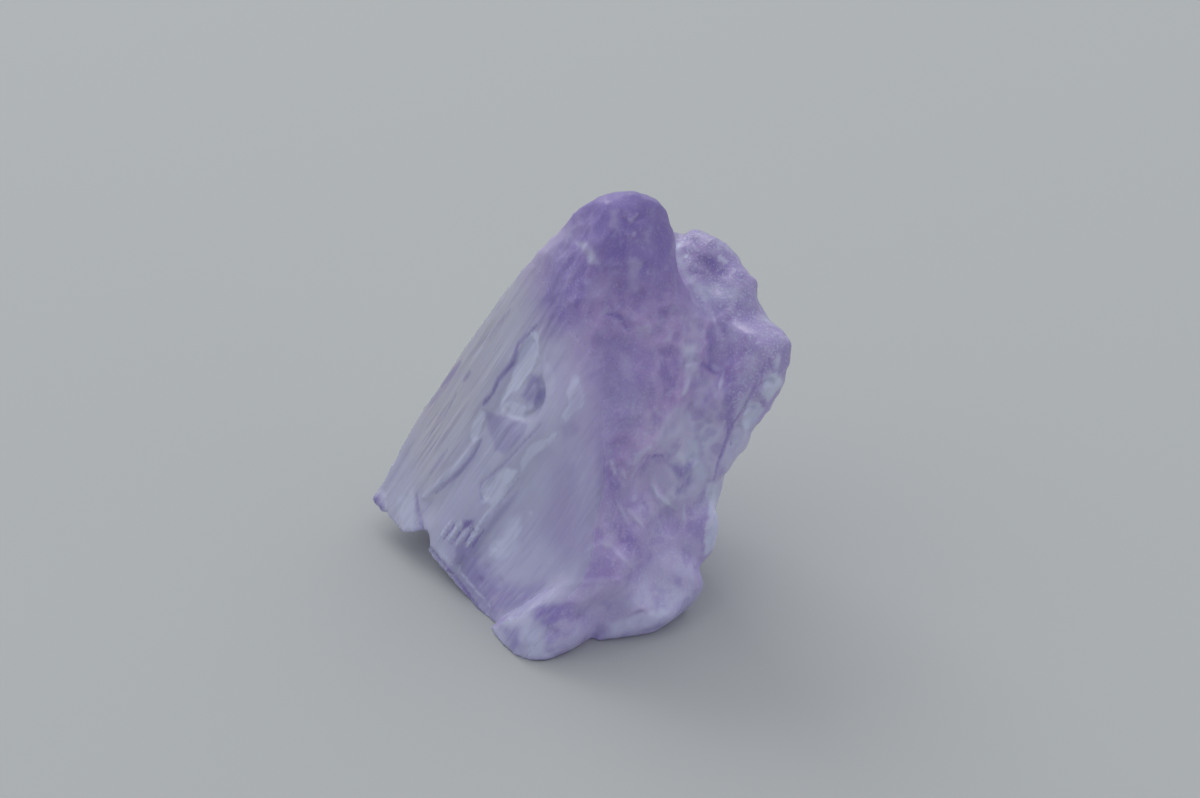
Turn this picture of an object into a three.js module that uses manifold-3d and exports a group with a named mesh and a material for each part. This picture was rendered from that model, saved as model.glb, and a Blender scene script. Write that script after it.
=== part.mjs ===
// Kunzite crystal: one broken and etched piece of a spodumene prism, resting on its oblique base.
//
// The crystal is shaped in its own axes, in millimetres: x runs across the big cleavage face, y runs
// from that face into the body, and z runs along the prism's length, the c axis. It is then leaned
// over, cut flat where it rests, and centred over the origin with +Z up.
import * as THREE from "three";
import { ConvexGeometry } from "three/addons/geometries/ConvexGeometry.js";
import { mergeVertices } from "three/addons/utils/BufferGeometryUtils.js";
import Module from "manifold-3d";

const wasm = await Module();
wasm.setup();

// Driving dimensions.
const FACE_WIDTH = 14.2; // the cleavage face, from the left edge to the front corner
const BODY_DEPTH = 11.6; // from the cleavage face to the back
const LOWEST = -8; // blanks start below the base, which the resting cut trims
const HIGHEST = 30; // and end above every termination
const TERRACE = 0.45; // height of one cleavage ledge
const TREAD_TILT = THREE.MathUtils.degToRad(6.5); // of the ledged face as a whole to the cleavage
const TOP_SLOPE = [0.58, -0.43, 0.69]; // outward side of the broken slope under the dome
const SIDE_SLOPE = [0.86, 0.12, 0.5]; // and of the broken right side

// How the crystal leans: its c axis from upright, the way it leans, and its turn about that axis.
const LEAN = THREE.MathUtils.degToRad(28.85);
const LEAN_AZIMUTH = THREE.MathUtils.degToRad(-17);
const SPIN = THREE.MathUtils.degToRad(-40.9);
const CORNER_HEIGHT = 1.3; // the left bottom corner of the cleavage face stands this far above the rest

// Shell-shaped scoops where flakes have broken away: a point on the surface, the outward direction
// there, the scoop's radius of curvature and how deep it goes.
const SCOOPS = [
  { at: [10.9, 3.9, 13.8], outward: [0.85, -0.2, 0.45], radius: 2.2, depth: 0.55 },
  { at: [11.6, 5.4, 12.2], outward: [0.8, 0.3, 0.5], radius: 1.6, depth: 0.45 },
  { at: [8.2, 4.6, 18.8], outward: [0.8, -0.2, 0.6], radius: 2.4, depth: 0.5 },
  { at: [9.8, 5.6, 15.8], outward: [0.9, 0, 0.4], radius: 2, depth: 0.4 },
  { at: [5.6, 1.6, 21], outward: [0.7, -0.4, 0.55], radius: 5, depth: 0.5 },
  { at: [6.9, 1.3, 18.8], outward: [0.65, -0.5, 0.55], radius: 3.2, depth: 0.4 },
  { at: [3.2, 7.3, 20.9], outward: [0.1, -0.7, 0.7], radius: 1.6, depth: 0.35 },
  { at: [12.2, 2.6, 11.8], outward: [0.8, -0.3, 0.6], radius: 2.4, depth: 0.4 },
  { at: [13.9, 5.3, 9.0], outward: [0.75, -0.1, 0.65], radius: 2.2, depth: 0.35 },
  { at: [13.7, 2.5, 7.4], outward: [0.95, -0.1, 0.1], radius: 1.8, depth: 0.4 },
  { at: [5, 11.2, 9], outward: [0.1, 1, 0.1], radius: 6, depth: 0.5 },
  { at: [2, 10.4, 15], outward: [0, 0.9, 0.3], radius: 4, depth: 0.4 },
  { at: [-0.4, 5, 9], outward: [-1, 0.1, 0], radius: 8, depth: 0.35 },
];

// Surface relief.
const LONGEST_EDGE = 1.35; // facets are split until no edge is longer
const SHORTEST_EDGE = 0.25; // and merged where an edge is shorter
const ROUGHNESS = 0.24; // how far etched and broken surfaces swing
const CLEAVAGE_ROUGHNESS = 0.03; // and the cleavage faces
const SOFTENING = 0.5; // how far each pass of etching draws a point towards its neighbours
const SOFTENING_PASSES = 2;

const point = ([x, y, z]) => new THREE.Vector3(x, y, z);

// A closed three.js geometry as a solid that can be joined and cut.
function solidOf(geometry) {
  const bare = geometry.index ? geometry.toNonIndexed() : geometry.clone();
  for (const name of Object.keys(bare.attributes)) {
    if (name !== "position") bare.deleteAttribute(name);
  }
  const merged = mergeVertices(bare, 1e-4);
  return new wasm.Manifold(
    new wasm.Mesh({
      numProp: 3,
      vertProperties: merged.attributes.position.array,
      triVerts: new Uint32Array(merged.index.array),
    }),
  );
}

function geometryOf(solid) {
  const { vertProperties, triVerts } = solid.getMesh();
  return new THREE.BufferGeometry()
    .setAttribute("position", new THREE.BufferAttribute(new Float32Array(vertProperties), 3))
    .setIndex(new THREE.BufferAttribute(new Uint32Array(triVerts), 1));
}

// A flat-faced lump: the convex body around its corners.
const lump = (corners) => solidOf(new ConvexGeometry(corners.map(point)));

// A column along the c axis with this outline in x and y.
function column(outline, from = LOWEST, to = HIGHEST) {
  const shape = new THREE.Shape(outline.map(([x, y]) => new THREE.Vector2(x, y)));
  const blank = new THREE.ExtrudeGeometry(shape, { depth: to - from, bevelEnabled: false });
  return solidOf(blank.translate(0, 0, from));
}

// A sheet with this outline in x and z, its front at one depth and its back at another, and the
// whole turned about the left edge of the face so that its right side stands forward.
function sheet(outline, front, back, tilt = 0) {
  const shape = new THREE.Shape(outline.map(([x, z]) => new THREE.Vector2(x, z)));
  const blank = new THREE.ExtrudeGeometry(shape, { depth: back - front, bevelEnabled: false });
  return solidOf(blank.rotateX(Math.PI / 2).translate(0, back, 0).rotateZ(-tilt));
}

// Takes off everything on the outer side of the plane through a point.
function cleave(solid, through, outward) {
  const size = 80;
  const normal = point(outward).normalize();
  const block = new THREE.BoxGeometry(size, size, size).translate(0, 0, size / 2);
  block.applyQuaternion(new THREE.Quaternion().setFromUnitVectors(new THREE.Vector3(0, 0, 1), normal));
  block.translate(...through);
  return solid.subtract(solidOf(block));
}

// The core of the prism: two cleavages nearly at right angles, with a bevelled back.
function core() {
  let body = column([
    [-0.6, 1],
    [0.6, 0.3],
    [6, 0.3],
    [FACE_WIDTH - 0.6, 0.35],
    [FACE_WIDTH - 0.7, 8.2],
    [9.6, 10.6],
    [6.5, BODY_DEPTH],
    [1.2, BODY_DEPTH - 0.2],
    [-0.6, 8.8],
  ]);
  body = cleave(body, [6.4, 0.3, 17.1], TOP_SLOPE);
  body = cleave(body, [8.3, 4.6, 18.2], SIDE_SLOPE);
  body = cleave(body, [4, 7, 20], [0.05, 0.15, 1]);
  body = cleave(body, [6.5, 10.2, 15], [0.15, 0.97, 0.2]); // back, drawn in towards the top
  body = cleave(body, [10.7, 8.8, 12.9], [0.75, 0.6, 0.16]); // back edge of the right side
  return body;
}

// The tall front half, which rises to a rounded dome on the left and to a lower shoulder beside it.
// Both fall away to a crest behind.
function frontMass() {
  const domeRim = [
    [-0.55, 0.1, 20.7],
    [-0.15, 0.3, 21.9],
    [0.0, 0.5, 23.4],
    [0.5, 1.3, 24.5],
    [0.9, 2.2, 25.0],
    [1.4, 3.0, 25.1],
    [1.7, 3.7, 24.4],
    [1.6, 4.3, 23.0],
    [1.6, 4.8, 21.3],
  ];
  const domeFront = [
    [2.2, -0.1, 23.7],
    [3.2, 1.6, 24.0],
    [4.4, 0.0, 21.0],
    [3.4, -0.45, 20.3],
  ];
  const domeCrest = [
    [2.8, 5.9, 20.8],
    [3.7, 6.0, 20.5],
  ];
  const shoulder = [
    [4.4, 0.0, 20.8],
    [3.7, 6.0, 20.5],
    [4.7, 6.1, 20.3],
    [5.3, 6.1, 20.4],
    [6.3, 6.3, 20.6],
    [7.5, 6.3, 20.2],
  ];
  const crease = [
    [8.4, 4.6, 18.4],
    [9.6, 3.3, 16.6],
    [10.5, 2.0, 15.0],
    [11.6, 1.2, 13.6],
    [12.6, 0.35, 12.1],
  ];
  const faceEdge = [
    [6.4, 0.3, 17.5],
    [9.9, 0.3, 14.8],
    [1.0, 0.3, 14],
  ];
  const inside = [
    [-0.2, 5.5, 18],
    [6, 7, 12],
    [9, 5, 12],
    [0, 0.3, 12],
  ];
  const below = [...crease, ...faceEdge, ...inside];
  const dome = lump([...domeRim, ...domeFront, ...domeCrest, ...below]);
  return dome.add(lump([...shoulder, ...below]));
}

// The slab that stands behind, its broken top square to the length.
function backSlab() {
  let slab = sheet(
    [
      [-0.8, 4],
      [12, 4],
      [12.8, 8.4],
      [12.3, 10.6],
      [11.3, 12.1],
      [10.8, 14.3],
      [9.7, 16.2],
      [9.5, 16.7],
      [10.1, 20.4],
      [9.7, 21.6],
      [8.5, 22.3],
      [7.1, 21.5],
      [6.1, 21.0],
      [4.9, 22.2],
      [3.4, 21.8],
      [1.7, 22.2],
      [0.7, 22.1],
      [0.0, 20.2],
      [-0.6, 18.2],
    ],
    6.9,
    9.8,
  );
  slab = cleave(slab, [0, 9.15, 21.9], [0, 1, 0.9]);
  slab = cleave(slab, [4, 6.9, 20.4], [-0.1, -0.8, 0.45]);
  slab = cleave(slab, [9.8, 9.25, 18.5], [0.8, 0.6, 0]);
  slab = cleave(slab, [1.8, 8.5, 21.8], [-0.27, 0.53, 0.8]);
  slab = cleave(slab, [9.75, 9.2, 21.1], [0.6, 0.5, 0.62]);
  const tip = lump([
    [9.5, 5.4, 15.8],
    [9.5, 6.0, 18.3],
    [9.4, 7.2, 20.3],
    [8.0, 6.8, 20.7],
    [10.1, 7.6, 14.6],
    [9.6, 8.6, 15.5],
    [9.4, 8.6, 20.5],
    [7, 8.6, 20],
    [7, 6, 12],
  ]);
  return slab.add(tip);
}

// Cleavage sheets that lie one on another on the big face, each ending in a ledge.
function terraces() {
  const left = sheet(
    [
      [-0.5, LOWEST],
      [2.4, LOWEST],
      [3.4, 1.7],
      [2.3, 3.1],
      [3.5, 7.3],
      [2.8, 8.6],
      [2.5, 10.4],
      [2.2, 15.6],
      [2.8, 17.4],
      [3.8, 19.4],
      [2.6, 22],
      [0.1, 22],
      [-0.3, 20.5],
      [-0.7, 17],
      [-1.0, 11],
      [-1.0, 6],
      [-0.6, 0],
    ],
    0,
    2,
    TREAD_TILT,
  );
  const middle = sheet(
    [
      [1, 1],
      [4.2, 1.8],
      [5.6, 2.3],
      [6.5, 2.1],
      [6.3, 4.8],
      [5.4, 7.1],
      [6.1, 9.3],
      [6.4, 12.2],
      [7.3, 14.6],
      [7.5, 16.3],
      [5.6, 17.2],
      [2, 18.8],
    ],
    TERRACE,
    2.4,
    TREAD_TILT,
  );
  return left.add(middle);
}

// Rounded lobes of the broken foot.
function footLobes() {
  const front = lump([
    [10.6, -0.1, 2.9],
    [12.1, -0.5, 3.3],
    [13.3, -0.6, 3.8],
    [14.2, -0.1, 4.4],
    [14.4, 1.0, 5.2],
    [14.0, 1.9, 6.1],
    [13.8, 2.4, 6.4],
    [11.6, 0.0, 5.1],
    [12.3, 0.1, 7.4],
    [13.2, 0.7, 9.0],
    [13.5, 2.1, 9.6],
    [11, 1, -2],
    [13, 2.4, -2],
    [11.5, 2, 8],
  ]);
  const side = lump([
    [14.3, 3.0, 6.5],
    [14.6, 4.2, 6.8],
    [14.8, 5.0, 7.3],
    [14.9, 5.7, 7.9],
    [14.6, 6.7, 8.2],
    [14.2, 7.7, 8.1],
    [14.2, 8.3, 8.9],
    [14.1, 8.1, 9.6],
    [13.7, 8.8, 9.4],
    [13.9, 3.3, 9.0],
    [13.3, 4.2, 10.4],
    [13.1, 7, 10.4],
    [12, 4, 0],
    [12, 8, 0],
    [11.5, 6, 9],
  ]);
  const heel = lump([
    [11.7, 9.0, 12.3],
    [12.5, 9.0, 11.4],
    [13.2, 8.7, 10.2],
    [13.4, 8.2, 9.5],
    [12.4, 8.6, 8.8],
    [13.0, 6.8, 9.8],
    [11.9, 7.6, 12.8],
    [12.0, 6.8, 12.0],
    [10, 9, 8],
    [10, 7, 11],
  ]);
  return front.add(side).add(heel);
}

// The wedge chipped out of the ledges.
function chip() {
  return lump([
    [2.2, -0.8, 15.7],
    [2.7, 0.9, 15.0],
    [4.6, -0.8, 14.9],
    [5.3, -0.8, 13.8],
    [5.0, 1.5, 13.4],
    [5.0, -0.8, 12.0],
    [2.7, -0.8, 10.4],
    [3.4, 0.6, 11.2],
    [4.7, 0.6, 12.3],
  ]);
}

// The ball that a scoop is the print of.
function scoop({ at, outward, radius, depth }) {
  const centre = point(at).addScaledVector(point(outward).normalize(), radius - depth);
  return solidOf(new THREE.IcosahedronGeometry(radius, 3).translate(...centre));
}

// A gentle hollow in the lower part of the big face.
function faceHollow() {
  const radius = 30;
  const ball = new THREE.IcosahedronGeometry(radius, 30).translate(9.6, 0.85 - radius, 9);
  return solidOf(ball);
}

// The underside at the left, which clears the floor: under the corner, under the thin rim that is
// left beside it, and in the notch between the two.
function underside() {
  const corner = lump([
    [-3, -3, -2.6],
    [-3, 9, 2.4],
    [3.3, -3, 0],
    [3.3, 9, 5],
    [-3, -3, -9],
    [3.3, -3, -9],
    [-3, 9, -9],
    [3.3, 9, -9],
  ]);
  const rim = lump([
    [3.3, -2, -0.1],
    [4.2, -0.4, 0.9],
    [7.0, -0.4, 1.3],
    [10.2, -0.3, 2.1],
    [3.3, 4, 2.9],
    [7, 3, 2.8],
    [3.3, -2, -9],
    [10.2, -2, -9],
    [3.3, 4, -9],
    [10.2, 2, -9],
  ]);
  const notch = lump([
    [2.8, -2, 0.4],
    [3.5, -2, 1.1],
    [4.1, -2, 1.2],
    [2.8, 4, 2.9],
    [4.1, 4, 3.7],
    [2.8, -2, -9],
    [4.1, -2, -9],
    [2.8, 4, -9],
    [4.1, 4, -9],
  ]);
  return corner.add(rim).add(notch);
}

// Draws together the ends of edges too short to matter, which the cuts leave behind. A point that
// `stays` accepts keeps its place.
function dropSlivers(geometry, shortest, stays = () => false) {
  const position = geometry.attributes.position;
  const index = geometry.index.array;
  const points = Array.from({ length: position.count }, (_, i) =>
    new THREE.Vector3().fromBufferAttribute(position, i),
  );
  const corners = (f) => Array.from(index.slice(f * 3, f * 3 + 3));
  const faces = Array.from({ length: index.length / 3 }, (_, f) => corners(f));
  const around = points.map(() => new Set());
  faces.forEach((face, f) => face.forEach((p) => around[p].add(f)));

  const ring = (p) => new Set([...around[p]].flatMap((f) => faces[f]));
  const normal = (face, moved, place) => {
    const [a, b, c] = face.map((p) => (moved.includes(p) ? place : points[p]));
    return b.clone().sub(a).cross(c.clone().sub(a)).normalize();
  };

  function collapse(a, b) {
    const ringB = ring(b);
    const shared = [...ring(a)].filter((p) => p !== a && p !== b && ringB.has(p));
    if (shared.length !== 2) return;
    if (stays(points[b]) && !stays(points[a])) [a, b] = [b, a];
    const place = stays(points[a]) ? points[a].clone() : points[a].clone().lerp(points[b], 0.5);
    const closes = (f) => faces[f].includes(a) && faces[f].includes(b);
    const turns = (f) => normal(faces[f], [], place).dot(normal(faces[f], [a, b], place)) < 0.5;
    if ([...around[a], ...around[b]].some((f) => !closes(f) && turns(f))) return;
    points[a] = place;
    for (const f of [...around[b]]) {
      if (faces[f].includes(a)) {
        for (const p of faces[f]) around[p].delete(f);
        faces[f] = null;
      } else {
        faces[f] = faces[f].map((p) => (p === b ? a : p));
        around[b].delete(f);
        around[a].add(f);
      }
    }
  }

  for (let f = 0; f < faces.length; f++) {
    for (let k = 0; k < 3 && faces[f]; k++) {
      const [a, b] = [faces[f][k], faces[f][(k + 1) % 3]];
      if (points[a].distanceTo(points[b]) < shortest) collapse(a, b);
    }
  }
  const left = new THREE.BufferGeometry()
    .setAttribute("position", new THREE.Float32BufferAttribute(points.flatMap((p) => p.toArray()), 3))
    .setIndex(faces.filter(Boolean).flat());
  return mergeVertices(left.toNonIndexed(), 1e-4);
}

// Splits every edge longer than the limit at its middle, in both faces that share it.
function refine(geometry, limit) {
  const position = Array.from(geometry.attributes.position.array);
  let faces = Array.from(geometry.index.array);
  const length = (a, b) =>
    Math.hypot(...[0, 1, 2].map((k) => position[a * 3 + k] - position[b * 3 + k]));
  for (let split = true; split; ) {
    split = false;
    const middles = new Map();
    const middle = (a, b) => {
      if (length(a, b) <= limit) return -1;
      const key = a < b ? `${a},${b}` : `${b},${a}`;
      if (!middles.has(key)) {
        middles.set(key, position.length / 3);
        for (let k = 0; k < 3; k++) position.push((position[a * 3 + k] + position[b * 3 + k]) / 2);
      }
      return middles.get(key);
    };
    const next = [];
    for (let i = 0; i < faces.length; i += 3) {
      let [a, b, c] = faces.slice(i, i + 3);
      // The longest edge goes first, so that the pieces stay well shaped.
      if (length(b, c) >= Math.max(length(a, b), length(c, a))) [a, b, c] = [b, c, a];
      else if (length(c, a) >= Math.max(length(a, b), length(b, c))) [a, b, c] = [c, a, b];
      const [ab, bc, ca] = [middle(a, b), middle(b, c), middle(c, a)];
      if (ab < 0) {
        next.push(a, b, c);
        continue;
      }
      split = true;
      if (ca < 0) next.push(a, ab, c);
      else next.push(a, ab, ca, ca, ab, c);
      if (bc < 0) next.push(ab, b, c);
      else next.push(ab, b, bc, ab, bc, c);
    }
    faces = next;
  }
  return new THREE.BufferGeometry()
    .setAttribute("position", new THREE.Float32BufferAttribute(position, 3))
    .setIndex(faces);
}

// How far a point lies on the big cleavage face rather than on a broken or etched surface: 1 to 0.
function onCleavage(x, y, z) {
  const front = THREE.MathUtils.clamp(1.6 - y, 0, 1);
  const clearOfCorner = THREE.MathUtils.clamp((13 - x) / 2, 0, 1);
  const belowDome = THREE.MathUtils.clamp((21.5 - z) / 2.5, 0, 1);
  return front * clearOfCorner * belowDome;
}

// Rounds the edges between the chunks, the way etching does, and leaves the cleavage ledges crisp.
function soften(geometry) {
  const position = geometry.attributes.position;
  const faces = geometry.index.array;
  for (let pass = 0; pass < SOFTENING_PASSES; pass++) {
    const sum = Array.from({ length: position.count }, () => new THREE.Vector3());
    const count = new Array(position.count).fill(0);
    for (let i = 0; i < faces.length; i += 3) {
      for (let k = 0; k < 3; k++) {
        const [a, b] = [faces[i + k], faces[i + ((k + 1) % 3)]];
        sum[a].add(new THREE.Vector3().fromBufferAttribute(position, b));
        count[a] += 1;
      }
    }
    for (let i = 0; i < position.count; i++) {
      const here = new THREE.Vector3().fromBufferAttribute(position, i);
      const pull = SOFTENING * (1 - onCleavage(here.x, here.y, here.z));
      const average = sum[i].divideScalar(count[i]);
      position.setXYZ(i, ...here.lerp(average, pull));
    }
  }
  return geometry;
}

// A fixed number between -1 and 1 for each lattice point.
function lattice(x, y, z, seed) {
  const wave = Math.sin(x * 127.1 + y * 311.7 + z * 74.7 + seed * 53.3) * 43758.5453;
  return 2 * (wave - Math.floor(wave)) - 1;
}

// Smooth noise between -1 and 1, with features about one unit across.
function noise(x, y, z, seed) {
  const cell = [x, y, z].map(Math.floor);
  const [u, v, w] = [x, y, z].map((value, k) => {
    const t = value - cell[k];
    return t * t * (3 - 2 * t);
  });
  let sum = 0;
  for (let corner = 0; corner < 8; corner++) {
    const [i, j, k] = [corner & 1, (corner >> 1) & 1, corner >> 2];
    const weight = (i ? u : 1 - u) * (j ? v : 1 - v) * (k ? w : 1 - w);
    sum += weight * lattice(cell[0] + i, cell[1] + j, cell[2] + k, seed);
  }
  return sum;
}

// Etches and breaks up the surface: rough where it is fractured, nearly true on the cleavages.
function weather(geometry) {
  const coarse = 2.6; // size of the larger swells
  const fine = 1.2; // size of the smaller ones
  const position = geometry.attributes.position;
  for (let i = 0; i < position.count; i++) {
    const [x, y, z] = [position.getX(i), position.getY(i), position.getZ(i)];
    const swing = THREE.MathUtils.lerp(ROUGHNESS, CLEAVAGE_ROUGHNESS, onCleavage(x, y, z));
    const shift = (seed) => {
      const swell = noise(x / coarse, y / coarse, z / coarse, seed);
      const ripple = noise(x / fine, y / fine, z / fine, seed + 3);
      return swing * (swell + 0.7 * ripple);
    };
    position.setXYZ(i, x + shift(1), y + shift(2), z + shift(3));
  }
  return geometry;
}

// Stands the crystal on its base: leaned, cut flat at the floor, centred over the origin.
function restOnBase(geometry) {
  const turn = new THREE.Matrix4().makeRotationZ(LEAN_AZIMUTH);
  turn.multiply(new THREE.Matrix4().makeRotationY(LEAN));
  turn.multiply(new THREE.Matrix4().makeRotationZ(SPIN));
  geometry.applyMatrix4(turn).translate(0, 0, CORNER_HEIGHT);
  const cut = geometryOf(cleave(solidOf(geometry), [0, 0, 0], [0, 0, -1]));
  const rested = dropSlivers(cut, SHORTEST_EDGE, (p) => p.z < 1e-4);
  rested.computeBoundingBox();
  const middle = rested.boundingBox.getCenter(new THREE.Vector3());
  return rested.translate(-middle.x, -middle.y, 0);
}

function crystalGeometry() {
  const whole = core().add(frontMass()).add(backSlab()).subtract(faceHollow()).add(terraces());
  let carved = whole.subtract(chip()).add(footLobes());
  for (const flake of SCOOPS) carved = carved.subtract(scoop(flake));
  carved = carved.subtract(underside());
  const even = refine(dropSlivers(geometryOf(carved), SHORTEST_EDGE), LONGEST_EDGE);
  return restOnBase(weather(soften(even)));
}

const kunzite = new THREE.MeshStandardMaterial({ color: 0x8d82b4, roughness: 0.35, metalness: 0 });
const crystal = new THREE.Mesh(crystalGeometry(), kunzite);
crystal.name = "crystal";

const part = new THREE.Group();
part.add(crystal);

export default part;
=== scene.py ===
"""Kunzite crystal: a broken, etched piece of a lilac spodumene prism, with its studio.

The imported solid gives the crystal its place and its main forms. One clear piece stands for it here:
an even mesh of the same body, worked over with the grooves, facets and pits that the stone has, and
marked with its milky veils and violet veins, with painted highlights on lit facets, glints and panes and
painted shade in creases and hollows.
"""

import math
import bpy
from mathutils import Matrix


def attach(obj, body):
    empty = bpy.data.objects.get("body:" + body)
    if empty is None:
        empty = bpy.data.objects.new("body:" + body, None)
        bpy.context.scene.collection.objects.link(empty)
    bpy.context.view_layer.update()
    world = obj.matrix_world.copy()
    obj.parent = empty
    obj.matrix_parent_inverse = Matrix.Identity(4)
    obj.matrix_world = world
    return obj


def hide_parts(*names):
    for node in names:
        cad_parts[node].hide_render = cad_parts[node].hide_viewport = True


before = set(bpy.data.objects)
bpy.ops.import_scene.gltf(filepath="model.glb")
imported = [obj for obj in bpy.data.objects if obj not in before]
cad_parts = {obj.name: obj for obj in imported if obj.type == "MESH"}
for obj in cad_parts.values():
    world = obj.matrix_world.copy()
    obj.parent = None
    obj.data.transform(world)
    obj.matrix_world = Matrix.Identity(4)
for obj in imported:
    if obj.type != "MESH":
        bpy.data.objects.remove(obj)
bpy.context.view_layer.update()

from types import SimpleNamespace
from typing import NamedTuple

import bmesh
import bpy
import numpy as np
from mathutils import Matrix, Vector, noise
from mathutils.bvhtree import BVHTree

bl_info = {
    "name": "Kunzite Crystal",
    "version": (1, 0, 0),
    "blender": (4, 5, 0),
    "location": "3D View > Sidebar > Kunzite",
    "description": "Finishes a rough kunzite crystal and sets it in a small studio",
    "category": "Object",
}

MM = 0.001

# The crystal's own axes: x runs across the big cleavage face, y from that face into the body, and z
# along the prism, the c axis. Its origin is the left end of the face, a little above the floor.
LEAN = math.radians(28.85)
LEAN_AZIMUTH = math.radians(-17)
SPIN = math.radians(-40.9)
AXES = Matrix.Rotation(LEAN_AZIMUTH, 3, "Z") @ Matrix.Rotation(LEAN, 3, "Y") @ Matrix.Rotation(SPIN, 3, "Z")
FACE_END = Vector((-10.309, 3.45, 1.3))  # in mm

# Where the camera and the lights stand. They all look at the same point, the crystal's middle.
TARGET = Vector((1.146, 1.305, 9.032)) * MM
CAMERA_ELEVATION = 32  # degrees above the horizon
CAMERA_DISTANCE = 260 * MM
LENS = 156  # mm
SENSOR = 36  # mm across
CLIP = (0.01, 10)  # m, the nearest and the farthest that shows
FRAME = (1200, 798)  # pixels across and down
WINDOW = (-152, 42)  # azimuth and elevation of the window, behind on the left
FILL = (60, 14)  # and of the fill light, low in front on the right
LIGHT_DISTANCE = 500 * MM
WINDOW_SIZE = (280 * MM, 280 * MM)
FILL_SIZE = (400 * MM, 250 * MM)
WHITE = "#FFFFFF"


def toward(azimuth, elevation):
    """A unit vector. Azimuth 0 is the camera's side and 90 the right."""
    turn, rise = math.radians(azimuth), math.radians(elevation)
    return Vector((math.sin(turn) * math.cos(rise), -math.cos(turn) * math.cos(rise), math.sin(rise)))


# The camera's own directions, and the length of its lens in pixels of its frame.
AWAY = toward(0, CAMERA_ELEVATION)
RIGHT = Vector((1, 0, 0))
HIGH = AWAY.cross(RIGHT)
FOCAL = LENS / SENSOR * FRAME[0]
PIXEL = CAMERA_DISTANCE / MM / FOCAL  # mm, at the crystal


def sight(pixel):
    """The direction in which the camera looks through a pixel of its frame."""
    across, down = pixel[0] - FRAME[0] / 2, pixel[1] - FRAME[1] / 2
    return (RIGHT * across - HIGH * down - AWAY * FOCAL).normalized()


def linear(code):
    """An sRGB hex colour as a linear RGBA tuple."""
    channels = [int(code[i : i + 2], 16) / 255 for i in (1, 3, 5)]
    return tuple(c / 12.92 if c <= 0.04045 else ((c + 0.055) / 1.055) ** 2.4 for c in channels) + (1.0,)


# ---- Settings


def length(label, note, millimetres):
    return bpy.props.FloatProperty(
        name=label, description=note, default=millimetres * MM, min=0, unit="LENGTH", precision=5
    )


def amount(label, note, value):
    return bpy.props.FloatProperty(
        name=label, description=note, default=value, min=0, max=1, subtype="FACTOR"
    )


def measure(label, note, value, unit="NONE"):
    return bpy.props.FloatProperty(name=label, description=note, default=value, min=0, unit=unit)


def colour(label, note, code):
    return bpy.props.FloatVectorProperty(
        name=label, description=note, default=linear(code), size=4, min=0, max=1, subtype="COLOR"
    )


class CrystalShape(bpy.types.PropertyGroup):
    """Sizes of the crystal's surface relief."""

    mesh_size: length("Mesh size", "Side of the even mesh's faces", 0.131)
    swell_size: length("Swell size", "Width of the swells on broken faces", 3.0)
    swell_height: length("Swell height", "Height of the swells on broken faces", 0.08)
    scallop_size: length("Scallop size", "Width of the shell-shaped scallops on broken faces", 1.7)
    scallop_depth: length("Scallop depth", "Depth of the scallops", 0.2)
    stria_width: length("Stria width", "Width of the broad grooves along the prism", 0.8)
    stria_depth: length("Stria depth", "Depth of the broad grooves", 0.05)
    line_width: length("Line width", "Width of the fine lines along the prism", 0.32)
    line_depth: length("Line depth", "Depth of the fine lines", 0.04)


class KunziteFinish(bpy.types.PropertyGroup):
    """Colours and gloss of the clear stone."""

    clear: colour("Clear tint", "Tint of the clear strip at the left edge", "#FBFBF8")
    pale: colour("Pale tint", "Tint of the cleaved faces", "#E9EBFF")
    deep: colour("Deep tint", "Tint of the broken faces", "#D2B6EC")
    # The pale tint also paints highlights on lit facets, glints and panes; the violet tint also paints
    # shade in creases and hollows.
    veil: colour("Veil", "Tint of the milky veils", "#E2E8FF")
    vein: colour("Vein", "Tint of the violet veins", "#8A70C8")
    body: colour("Body colour", "Colour that light takes on inside the stone", "#9C80F4")
    absorption: measure("Absorption", "How fast light is taken up, per metre", 26)
    clarity: amount("Clarity", "Share of light that goes through the surface", 0.66)
    polished: amount("Cleavage roughness", "Roughness of the cleavage faces", 0.15)
    etched: amount("Etched roughness", "Roughness of the etched faces", 0.38)
    fibres: amount("Fibres", "Strength of the pale and dark lines along the prism", 0.5)


class StudioStage(bpy.types.PropertyGroup):
    """The floor and its light."""

    floor: colour("Floor", "Colour of the pale floor", "#B2B4B3")
    sky: colour("Sky", "Colour of the light from all round", "#E6EAF0")
    sky_dark: measure("Sky, dark side", "Strength of the sky away from the window", 0.38)
    sky_bright: measure("Sky, bright side", "Strength of the sky on the window's side", 1.05)
    window_power: measure("Window power", "Power of the big soft light", 0.7, "POWER")
    fill_power: measure("Fill power", "Power of the low fill light", 0.2, "POWER")


# ---- Shared helpers


def shown(name, mesh, material):
    """A new object at the origin, with its material."""
    made = bpy.data.objects.new(name, mesh)
    bpy.context.scene.collection.objects.link(made)
    made.data.materials.append(material)
    return made


def add(tree, kind, settings=None, **inputs):
    """Adds a shader node. An input is a value or another node's output, and _2 is the third socket."""
    made = tree.nodes.new(kind)
    for name, value in (settings or {}).items():
        setattr(made, name, value)
    for name, value in inputs.items():
        key = int(name[1:]) if name[1:].isdigit() else name.replace("_", " ")
        socket = made.inputs[key]
        if isinstance(value, bpy.types.NodeSocket):
            tree.links.new(value, socket)
        else:
            socket.default_value = value
    return made


def blank_material(name):
    material = bpy.data.materials.new(name)
    material.use_nodes = True
    material.node_tree.nodes.clear()
    return material


# ---- Marks on the crystal

# Their places are pixels of the camera's frame, each laid on the surface that shows there. Their
# reach, depth and rise are in millimetres.

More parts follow.
